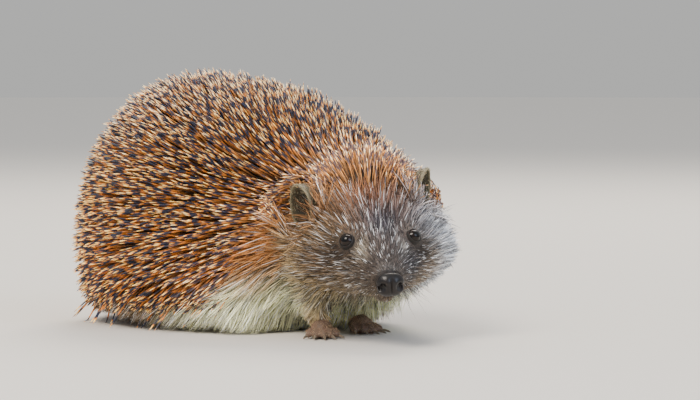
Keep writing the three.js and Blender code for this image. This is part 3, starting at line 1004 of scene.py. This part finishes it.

# %% [markdown]
# Three numbers go with each spine, in the place of a colour: how much it is of the paler kind,
# how near it is to the face, and how bright it is. The first and the last also hold painted light,
# paler and brighter on the top of the back. Its material reads them.

# %% Tints and pieces of the spines
TRUNK_FROM, RUMP_FROM = 78, 140

crown_share = step(-spine_back, -90, -60)
# Painted light: spines high on the back are made paler and brighter, as light from above falls on
# them.
paleness_and_top_light = step(spine_height, 55, 95) * 0.55
paleness_and_top_light += crown_share * 0.9 + rng.normal(0, 0.22, spine_count)
brightness_and_top_light = 1 + 0.25 * step(-spine_places[:, 0] / MM, 0, 75) + 0.75 * crown_share
brightness_and_top_light += 0.28 * (1 - step(spine_height, 30, 65))
brightness_and_top_light += 0.15 * step(spine_height, 78, 104)
brightness_and_top_light *= rng.uniform(0.6, 1.45, spine_count)
spine_tint = np.stack([np.clip(paleness_and_top_light, 0, 1), crown_share, brightness_and_top_light / 2], axis=1)

on_trunk = (spine_back >= TRUNK_FROM) & (spine_back < RUMP_FROM)
groups = {
    "spines_crown": spine_back < TRUNK_FROM,
    "spines_right": on_trunk & (spine_places[:, 1] < 0),
    "spines_left": on_trunk & (spine_places[:, 1] >= 0),
    "spines_rump": spine_back >= RUMP_FROM,
}
spine_pieces = [
    grow_strands(
        name, pick(spine_roots, chosen), spine_start[chosen], spine_end[chosen],
        spine_length[chosen], spine_radius[chosen], SPINE_PROFILE, SPINE_SIDES,
        spine_shade[chosen], spine_tint[chosen], spine_moves[chosen],
    )
    for name, chosen in groups.items()
]

# %% [markdown]
# ## Fur
# Face, throat, flanks and belly have coarse hair instead of spines. It is a millimetre or two
# long on the snout and grows to 20 mm at the skirt. Hairs stick together at their ends, so the
# tips of neighbouring strands are drawn towards a common one, which gives locks and not a brush.

# %% Ends and shades of the hair
PALE_HAIR = "#E6E8EA"
DARK_HAIR = "#1E1D22"
EAR_CLEARING = (-12, 2)


def clear_of_ears(roots, direction, length):
    """Shortens strands that would end in the clear space in front of an ear."""
    front, back = EAR_CLEARING
    for side in EAR_PLACES:
        for _ in range(4):
            tips = roots["place"] + direction * length[:, None]
            across, up, into = on_ear(tips, side)
            blocked = (across**2 + up**2 < 0.85) & (into < back) & (into > front)
            length = np.where(blocked, length * 0.6, length)
    return length


def clumped(tips, share, every, rng):
    """How far each tip moves towards the tip of a lock, of which there is one for so many."""
    centres = tips[rng.choice(len(tips), max(1, len(tips) // every), replace=False)]
    tree = kdtree.KDTree(len(centres))
    for i, centre in enumerate(centres):
        tree.insert(centre, i)
    tree.balance()
    nearest = np.array([tree.find(tip)[1] for tip in tips])
    return (centres[nearest] - tips) * share


def streaked(tint, length, pale_share, dark_share, rng):
    """Coat colours where some hairs are nearly white, fewer if short, and some nearly black."""
    kind = rng.random(len(tint))[:, None]
    pale_share = pale_share * step(length, 1.5 * MM, 5 * MM)[:, None]
    tint = np.where(kind < pale_share, tint + (rgb(PALE_HAIR) - tint) * 0.6, tint)
    return np.where(kind > 1 - dark_share, tint + (rgb(DARK_HAIR) - tint) * 0.7, tint)


# %% Fur of one region
HAIR_GIRTHS = ([1, 3, 6, 18], [0.09, 0.15, 0.2, 0.25])
HAIRS_IN_LOCK = 7


def grow_fur(
    seed, region, spacing, pole, sag, jitter, clumping, girth, ragged, streaks, slot
):
    """The piece of fur of one region of the skin."""
    rng = np.random.default_rng(seed)
    roots = strew(regions[region], spacing * MM, seed)
    count = len(roots["place"])
    lie = lie_of_coat(roots, pole, sag)
    length = roots["hair"] * MM * rng.uniform(0.7, 1.15, count)
    start = lifted(roots, lie, length, rng.uniform(0.35, 1.1, count), jitter, rng, flattest=0.16)
    end = unit(start + lie * 0.25 - np.array([0, 0, sag * 0.25]))
    length = clear_of_ears(roots, start, length)
    moves = held_in(roots, start, end, length, ragged, rng)
    tips = roots["place"] + (start + end) / 2 * length[:, None] + moves
    moves += clumped(tips, clumping, HAIRS_IN_LOCK, rng)
    radius = np.interp(length / MM, *HAIR_GIRTHS) * MM * girth
    shade = rng.uniform(0.45 if slot == "pale_fur" else 0.15, 1, count)
    tint = streaked(coat_colour(roots["place"], np.zeros(count)), length, *streaks, rng)
    return grow_strands(
        f"fur_{region}", roots, start, end, length, radius, HAIR_PROFILE, 3, shade, tint,
        moves,
    )


# %% Fur of all regions
FIRST_FUR_SEED = 21
snout_pole = from_head(0, 2, 2)
face_pole = from_head(0, 2, 10)
body_pole = from_head(0, 4, 26)
# Region, spacing in mm, pole, sag, jitter, clumping, girth, raggedness, pale and dark share, slot.
FUR = [
    ("snout", 0.42, snout_pole, 0, 0.12, 0.2, 1.05, 0.6, (0.12, 0.2), "face_fur"),
    ("face", 0.49, face_pole, 0, 0.14, 0.3, 0.9, 1.2, (0.15, 0.26), "face_fur"),
    ("cheeks", 0.68, face_pole, 0.08, 0.17, 0.4, 0.85, 2.6, (0.16, 0.2), "face_fur"),
    ("throat", 0.8, body_pole, 0.3, 0.14, 0.45, 0.9, 1.5, (0.15, 0.05), "pale_fur"),
    ("belly_right", 0.86, body_pole, 0.9, 0.13, 0.45, 0.85, 1.5, (0.3, 0.1), "pale_fur"),
    ("belly_left", 0.86, body_pole, 0.9, 0.13, 0.45, 0.85, 1.5, (0.3, 0.1), "pale_fur"),
    ("legs", 0.7, body_pole, 0.6, 0.12, 0.3, 1, 1, (0.1, 0.1), "pale_fur"),
]
fur_pieces = [grow_fur(seed, *facts) for seed, facts in enumerate(FUR, FIRST_FUR_SEED)]

# %% [markdown]
# Ears and the tops of the feet look bare, but a short down covers them. It catches the light at
# the rim of the ear, and without it both would look like rubber.


# %% Down on ears and feet
DOWN_RADIUS = 0.07 * MM


def grow_down(region, spacing, seed, reach, poles, code):
    """Short thin hairs that point away from the nearest of some poles."""
    rng = np.random.default_rng(seed)
    roots = strew(regions[region], spacing * MM, seed)
    count = len(roots["place"])
    away = roots["place"][:, None] - np.array(poles)[None]
    nearest = np.argmin(np.linalg.norm(away, axis=2), axis=1)
    lie = unit(away[np.arange(count), nearest])
    lie = unit(lie - (lie * roots["normal"]).sum(axis=1, keepdims=True) * roots["normal"])
    start = unit(lie + roots["normal"] * 0.45 + rng.normal(0, 0.2, (count, 3)))
    end = unit(start + lie * 0.3)
    length = rng.uniform(0.6, 1.2, count) * reach * MM
    radius = np.full(count, DOWN_RADIUS)
    tint = np.tile(rgb(code), (count, 1))
    shade = rng.uniform(0.3, 1, count)
    return grow_strands(
        f"down_{region}", roots, start, end, length, radius, HAIR_PROFILE, 3, shade, tint
    )


ear_feet = [from_head(side, up - EAR_HALF[1], back) for side, up, back in EAR_PLACES.values()]
leg_tops = [middle_of(leg) for leg in LEG_NODES]
fur_pieces.append(grow_down("ears", 0.85, 41, 1.5, ear_feet, "#A39A80"))
fur_pieces.append(grow_down("feet", 0.75, 42, 1.6, leg_tops, "#A88E72"))

# %% [markdown]
# Whiskers stand in rows on both sides of the snout. They are stiffer and farther apart than the
# fur, point outwards and a little forwards, and curve back towards their tips.

# %% Whiskers
WHISKER_PROFILE = [(0, 1), (0.25, 0.9), (0.5, 0.7), (0.75, 0.45), (1, 0)]
WHISKER_RADIUS = 0.08 * MM
WHISKER_LENGTHS = (9, 19)
WHISKER_GAP = 0.9 * MM
MOST_WHISKERS = 64


def grow_whiskers():
    rng = np.random.default_rng(31)
    roots = strew(regions["snout"], WHISKER_GAP, 31)
    side, up, back = on_head(roots["place"]).T
    roots = pick(roots, (np.abs(side) > 4.5) & (up < 1) & (up > -7) & (back > 7) & (back < 19))
    roots = pick(roots, np.arange(len(roots["place"])) < MOST_WHISKERS)
    count = len(roots["place"])
    start = unit(roots["normal"] + 0.25 * np.array(forward) + rng.normal(0, 0.12, (count, 3)))
    end = unit(start - 0.7 * np.array(forward) - np.array([0, 0, 0.25]))
    length = rng.uniform(*WHISKER_LENGTHS, count) * MM
    radius = np.full(count, WHISKER_RADIUS)
    tint = np.tile(rgb("#6E645A"), (count, 1))
    shade = rng.random(count)
    return grow_strands(
        "whiskers", roots, start, end, length, radius, WHISKER_PROFILE, 4, shade, tint
    )


fur_pieces.append(grow_whiskers())

# %% [markdown]
# ## Eyes
# The eye of a hedgehog shows almost no white: it is a dark glossy ball with a clear cornea that
# stands out a little. A ball is made and its front pulled out, then it is turned to look along
# the face. How far a point is from the way the eye looks is kept, for pupil and iris.

# %% Eyes
CORNEA_BULGE = 0.05
CORNEA_FROM = 0.6


def takes_place_of(piece, node):
    """Hides the solid a piece replaces and attaches the piece to the root body."""
    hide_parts(node)
    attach(piece, "root")


def eye_ball(side):
    shape = bmesh.new()
    bmesh.ops.create_uvsphere(shape, u_segments=48, v_segments=32, radius=EYE_RADIUS)
    off_axis = []
    for vert in shape.verts:
        off_axis.append(Vector((vert.co.x, vert.co.y)).length / EYE_RADIUS)
        share = max(0.0, vert.co.z / EYE_RADIUS - CORNEA_FROM) / (1 - CORNEA_FROM)
        vert.co *= 1 + CORNEA_BULGE * share * share * (3 - 2 * share)
        if vert.co.z < 0:
            off_axis[-1] = 1.0
    bmesh.ops.transform(shape, matrix=eye_matrix(side), verts=shape.verts)
    mesh = mesh_from(shape, f"eyeball_{side}")
    mesh.attributes.new("off_axis", "FLOAT", "POINT").data.foreach_set("value", off_axis)
    mesh.shade_smooth()
    piece = linked(f"eyeball_{side}", mesh)
    takes_place_of(piece, f"eye_{side}")
    return piece


eye_pieces = [eye_ball(side) for side in eyes]
print("eyes:", [len(piece.data.polygons) for piece in eye_pieces], "faces")

# %% [markdown]
# ## Nose
# The nose pad is bare wet leather, wider than it is high, with a comma-shaped nostril at each
# side and a groove down the middle. It starts as a ball that is squared a little, and its
# points are then pressed in where nostrils and groove are.

# %% Nose pad
NOSTRIL_PLACES = [(3.4, 0.1, 1.2, 1.5, 2.2), (4.4, -1.2, 1.0, 1.0, 1.8), (5.3, -0.6, 0.8, 0.9, 1.5)]
NOSE_SQUARENESS = 2.5
NOSE_NARROWING = 0.055
GROOVE_DEPTH, GROOVE_WIDTH = 0.5, 0.32
LOBE_HEIGHT = 0.35


def pressed(side, up, place):
    """How deep the nose is pressed in at a point by one hollow, in millimetres."""
    at_side, at_up, wide, high, deep = place
    away = ((abs(side) - at_side) / wide) ** 2 + ((up - at_up) / high) ** 2
    return deep * np.exp(-(away**1.5))


def nose_pad():
    shape = bmesh.new()
    bmesh.ops.create_uvsphere(shape, u_segments=96, v_segments=72, radius=1)
    for vert in shape.verts:
        x, y, z = vert.co
        size = (abs(x) ** NOSE_SQUARENESS + abs(y) ** NOSE_SQUARENESS + abs(z) ** 2) ** -0.42
        side, up, back = np.array([x, y, z]) * size * NOSE_HALF
        if back < 1.5:
            push = sum(pressed(side, up, place) for place in NOSTRIL_PLACES)
            groove = GROOVE_DEPTH * np.exp(-((side / GROOVE_WIDTH) ** 2)) * (up < 3.6) * (back < 0)
            lobes = np.exp(-(((abs(side) - 2) / 1.3) ** 2) - ((up - 2.2) / 1.8) ** 2) * LOBE_HEIGHT
            back += push * min(1, (1.5 - back) / 2) + groove - lobes
            side *= 1 - 0.05 * min(1, push)
        narrowing = 1 - NOSE_NARROWING * max(0, back + 1.5)
        side, up = side * narrowing, up * narrowing
        vert.co = from_head(*(NOSE_MIDDLE + np.array([side, up, back])))
    bmesh.ops.recalc_face_normals(shape, faces=shape.faces)
    mesh = mesh_from(shape, "nose_pad")
    mesh.shade_smooth()
    piece = linked("nose_pad", mesh)
    takes_place_of(piece, "nose")
    return piece


nose_piece = nose_pad()
print("nose pad:", len(nose_piece.data.polygons), "faces")

# %% [markdown]
# ## Claws
# The claws keep the place and length of their solids. A copy of each is welded and swollen a
# little, and subdivision then makes its flat sides round and takes the swelling back.

# %% Claws
CLAW_SWELL = 0.12 * MM

claw_pieces = []
for node in sorted(name for name in nodes if name.startswith("claw_")):
    mesh = mesh_from(swollen_copy(node, CLAW_SWELL), "horn_" + node)
    mesh.shade_smooth()
    piece = linked("horn_" + node, mesh)
    rounding = piece.modifiers.new("rounding", "SUBSURF")
    rounding.levels = rounding.render_levels = 2
    takes_place_of(piece, node)
    claw_pieces.append(piece)
print("claws:", len(claw_pieces))

# %% [markdown]
# ## Finishes
# Skin: thin, dull and finely wrinkled. Its colour comes from the markings, with painted shade
# that darkens it between the hairs, and bare parts such as feet, ears and lids have colours of
# their own.

# %% Markings on the skin, with painted shade and a painted highlight
PAINTED_SHADE_ON_SKIN = 0.62
PART_COLOURS = {"foot": "#7A6557", "ear": "#5E5848", "lid": "#262220"}
EAR_RIM_HIGHLIGHT = "#8E8468"
EAR_HOLLOW_SHADE = "#3C3628"

# Painted shade: the body skin's colour is darkened, as it is seen in the shade between hairs and
# spines.
skin_tint = coat_colour(skin_points, skin_spiny) * PAINTED_SHADE_ON_SKIN
nose_edge = (1 - step(from_nose, 1.0, 1.3))[:, None]
skin_tint += (rgb("#2A2523") - skin_tint) * nose_edge
part_ends = list(parts_start.values())[1:] + [len(skin_points)]
for name, end_index in zip(parts_start, part_ends):
    kind, side = name.split("_", 1)
    part = slice(parts_start[name], end_index)
    skin_tint[part] = rgb(PART_COLOURS[kind])
    if kind == "ear":
        _, _, into = on_ear(skin_points[part], side)
        opens = skin_normals[part] @ -ear_axes[side][2]
        # Painted shade: the inside of the ear's cup is darkened.
        hollow = (step(opens, 0.1, 0.6) * step(into, -0.2, 2.5))[:, None]
        # Painted highlight: the ear's rim is lightened where light catches its edge.
        rim = (1 - step(into, -1.2, 0.6))[:, None]
        skin_tint[part] += (rgb(EAR_HOLLOW_SHADE) - skin_tint[part]) * hollow
        skin_tint[part] += (rgb(EAR_RIM_HIGHLIGHT) - skin_tint[part]) * rim
layer = skin_mesh.attributes.new("marking", "FLOAT_COLOR", "POINT")
skin_rgba = np.concatenate([skin_tint, np.ones((len(skin_points), 1))], axis=1)
layer.data.foreach_set("color", skin_rgba.astype(np.float32).ravel())

# %% Bare skin
MOTTLE_SIZE = 3 * MM
WRINKLE_SIZE = 0.7 * MM
WRINKLE_DEPTH = 0.15 * MM

skin_finish = new_material("bare animal skin")
place = add_node(skin_finish, "ShaderNodeTexCoord").outputs["Object"]
marking = add_node(skin_finish, "ShaderNodeAttribute", {"attribute_name": "marking"})
mottle = add_node(
    skin_finish, "ShaderNodeTexNoise", {"Scale": 1 / MOTTLE_SIZE, "Detail": 4, "Vector": place}
)
darken = add_node(
    skin_finish, "ShaderNodeMapRange", {"To Min": 0.65, "To Max": 1.2, "Value": mottle}
)
shaded = add_node(
    skin_finish, "ShaderNodeVectorMath", {"operation": "SCALE", 0: marking, "Scale": darken}
)
wrinkles = add_node(
    skin_finish, "ShaderNodeTexVoronoi", {"Scale": 1 / WRINKLE_SIZE, "Vector": place}
)
wrinkle_bump = add_node(
    skin_finish,
    "ShaderNodeBump",
    {"Strength": 0.45, "Distance": WRINKLE_DEPTH, "Height": wrinkles.outputs["Distance"]},
)
skin_values = {
    "Base Color": shaded, "Normal": wrinkle_bump, "Roughness": 0.55, "IOR": 1.4,
    "Subsurface Weight": 0.1, "Subsurface Scale": 1 * MM,
}
skin_shader = add_node(skin_finish, "ShaderNodeBsdfPrincipled", skin_values)
add_node(skin_finish, "ShaderNodeOutputMaterial", {"Surface": skin_shader})
skin.data.materials.append(skin_finish)

# %% [markdown]
# Keratin of the spines: hard, smooth and a little glossy. Along each spine the colour goes from
# dark brown, which is painted shade deep in the coat, through orange-tan to a dark band, and ends
# in a cream tip. Spines on the top of the back are whiter and brighter, partly painted light from
# above, and those on the flank more golden.

# %% Spine keratin
# In both ramps the dark brown towards the root is painted shade deep in the coat.
GOLDEN = [
    (0, "#4A3420"), (0.42, "#84521F"), (0.59, "#CC7626"), (0.64, "#5A4438"), (0.7, "#1E2436"),
    (0.825, "#282E40"), (0.87, "#DC8C38"), (0.92, "#FFCC68"), (0.985, "#FFD888"), (1, "#A87040"),
]
WHITER = [
    (0, "#4A3826"), (0.42, "#80592F"), (0.59, "#C68848"), (0.64, "#544C52"), (0.7, "#1E263E"),
    (0.825, "#28324A"), (0.87, "#E8AE6A"), (0.92, "#FFECC0"), (0.985, "#FFEECC"), (1, "#B89070"),
]

keratin = new_material("spine keratin")
along = add_node(keratin, "ShaderNodeAttribute", {"attribute_name": "along"}).outputs["Fac"]
shade = add_node(keratin, "ShaderNodeAttribute", {"attribute_name": "shade"}).outputs["Fac"]
facts = add_node(keratin, "ShaderNodeAttribute", {"attribute_name": "marking"})
# The first and last of these carry painted light from above as well as each spine's own tone.
paler_and_top_light, near_face, bright = add_node(keratin, "ShaderNodeSeparateColor", {"Color": facts}).outputs
shift = add_node(
    keratin, "ShaderNodeMath", {"operation": "MULTIPLY_ADD", 0: shade, 1: 0.26, 2: -0.13}
)
moved = add_node(keratin, "ShaderNodeMath", {"operation": "ADD", 0: along, 1: shift})
golden = add_node(keratin, "ShaderNodeValToRGB", {"Fac": moved})
set_ramp(golden, GOLDEN)
whiter = add_node(keratin, "ShaderNodeValToRGB", {"Fac": moved})
set_ramp(whiter, WHITER)
banded = add_node(
    keratin, "ShaderNodeMix", {"data_type": "RGBA", "Factor": paler_and_top_light, 6: golden, 7: whiter}
).outputs[2]
face_share = add_node(keratin, "ShaderNodeMath", {"operation": "MULTIPLY", 0: near_face, 1: 0.15})
softer = add_node(
    keratin,
    "ShaderNodeMix",
    {"data_type": "RGBA", "Factor": face_share, 6: banded, 7: colour("#B98A62")},
).outputs[2]
doubled = add_node(keratin, "ShaderNodeMath", {"operation": "MULTIPLY", 0: bright, 1: 2.0})
spine_colour = add_node(
    keratin, "ShaderNodeVectorMath", {"operation": "SCALE", 0: softer, "Scale": doubled}
)
keratin_shader = add_node(
    keratin,
    "ShaderNodeBsdfPrincipled",
    {"Base Color": spine_colour, "Roughness": 0.38, "IOR": 1.54, "Specular IOR Level": 0.35},
)
add_node(keratin, "ShaderNodeOutputMaterial", {"Surface": keratin_shader})
for piece in spine_pieces:
    piece.data.materials.append(keratin)

# %% [markdown]
# Hair: each one is darker at the root and pale at the tip, and no two have quite the same shade,
# which is what makes fur look like fur from a distance. A curve makes most hairs dark and a few
# very pale.

# %% Hair
SHADE_CURVE = [(0.0, 0.12), (0.25, 0.2), (0.45, 0.42), (0.72, 0.6), (1.0, 1.0)]

hair_finish = new_material("coarse animal hair")
along = add_node(hair_finish, "ShaderNodeAttribute", {"attribute_name": "along"}).outputs["Fac"]
shade = add_node(hair_finish, "ShaderNodeAttribute", {"attribute_name": "shade"}).outputs["Fac"]
marking = add_node(hair_finish, "ShaderNodeAttribute", {"attribute_name": "marking"})
from_root = add_node(
    hair_finish, "ShaderNodeMapRange", {"To Min": 0.55, "To Max": 1.35, "Value": along}
)
own_shade = add_node(hair_finish, "ShaderNodeFloatCurve", {"Factor": 1.0, "Value": shade})
for place, bright in SHADE_CURVE:
    own_shade.mapping.curves[0].points.new(place, bright)
own_shade.mapping.update()
both = add_node(
    hair_finish, "ShaderNodeMath", {"operation": "MULTIPLY", 0: from_root, 1: own_shade}
)
stronger = add_node(hair_finish, "ShaderNodeMath", {"operation": "MULTIPLY", 0: both, 1: 2.2})
hair_colour = add_node(
    hair_finish, "ShaderNodeVectorMath", {"operation": "SCALE", 0: marking, "Scale": stronger}
)
hair_shader = add_node(
    hair_finish,
    "ShaderNodeBsdfPrincipled",
    {"Base Color": hair_colour, "Roughness": 0.5, "IOR": 1.54, "Specular IOR Level": 0.35},
)
add_node(hair_finish, "ShaderNodeOutputMaterial", {"Surface": hair_shader})
for piece in fur_pieces:
    piece.data.materials.append(hair_finish)

# %% [markdown]
# The eye is wet, so it reflects like glass. A black pupil sits in a very dark brown iris.

# %% Wet eye
IRIS = [(0, "#020202"), (0.45, "#030202"), (0.56, "#1C0F08"), (0.8, "#0E0806"), (1, "#060505")]

wet_eye = new_material("wet dark eye")
off_axis = add_node(wet_eye, "ShaderNodeAttribute", {"attribute_name": "off_axis"}).outputs["Fac"]
iris = add_node(wet_eye, "ShaderNodeValToRGB", {"Fac": off_axis})
set_ramp(iris, IRIS)
eye_shader = add_node(
    wet_eye, "ShaderNodeBsdfPrincipled", {"Base Color": iris, "Roughness": 0.04, "IOR": 1.36}
)
add_node(wet_eye, "ShaderNodeOutputMaterial", {"Surface": eye_shader})
for piece in eye_pieces:
    piece.data.materials.append(wet_eye)

# %% [markdown]
# The nose is black leather under a film of moisture. Fine pebbles break up its highlights.

# %% Nose leather
PEBBLE_SIZE = 0.45 * MM
PEBBLE_DEPTH = 0.08 * MM
WORN_PATCH = 4 * MM

leather = new_material("moist nose leather")
place = add_node(leather, "ShaderNodeTexCoord").outputs["Object"]
pebbles = add_node(leather, "ShaderNodeTexVoronoi", {"Scale": 1 / PEBBLE_SIZE, "Vector": place})
pebble_bump = add_node(
    leather,
    "ShaderNodeBump",
    {"Strength": 0.5, "Distance": PEBBLE_DEPTH, "Height": pebbles.outputs["Distance"]},
)
worn = add_node(leather, "ShaderNodeTexNoise", {"Scale": 1 / WORN_PATCH, "Vector": place})
nose_colour = add_node(leather, "ShaderNodeValToRGB", {"Fac": worn})
set_ramp(nose_colour, [(0.3, "#0B0B0E"), (0.7, "#1D1614")])
nose_shader = add_node(
    leather,
    "ShaderNodeBsdfPrincipled",
    {"Base Color": nose_colour, "Normal": pebble_bump, "Roughness": 0.28, "IOR": 1.42},
)
add_node(leather, "ShaderNodeOutputMaterial", {"Surface": nose_shader})
nose_piece.data.materials.append(leather)

# %% [markdown]
# Claws are horn: grey-brown with paler patches, and polished a little by walking.

# %% Claw horn
HORN_PATCH = 1.2 * MM

horn = new_material("claw horn")
place = add_node(horn, "ShaderNodeTexCoord").outputs["Object"]
growth = add_node(
    horn, "ShaderNodeTexNoise", {"Scale": 1 / HORN_PATCH, "Detail": 3, "Vector": place}
)
horn_colour = add_node(horn, "ShaderNodeValToRGB", {"Fac": growth})
set_ramp(horn_colour, [(0.3, "#4E463F"), (0.7, "#A0907A")])
horn_shader = add_node(
    horn, "ShaderNodeBsdfPrincipled", {"Base Color": horn_colour, "Roughness": 0.35, "IOR": 1.54}
)
add_node(horn, "ShaderNodeOutputMaterial", {"Surface": horn_shader})
for piece in claw_pieces:
    piece.data.materials.append(horn)

# %% [markdown]
# The coat reaches out to the outline of the solids, and the sizes of both are printed. The
# dressed animal has to fill the same room as its solids.

# %% Sizes and finish
dressed_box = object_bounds()
sizes = {
    "cad": [list(corner) for corner in cad_box],
    "visual": [list(corner) for corner in dressed_box],
}
for name, size in sizes.items():
    print(name, [[round(v / MM, 1) for v in corner] for corner in size])
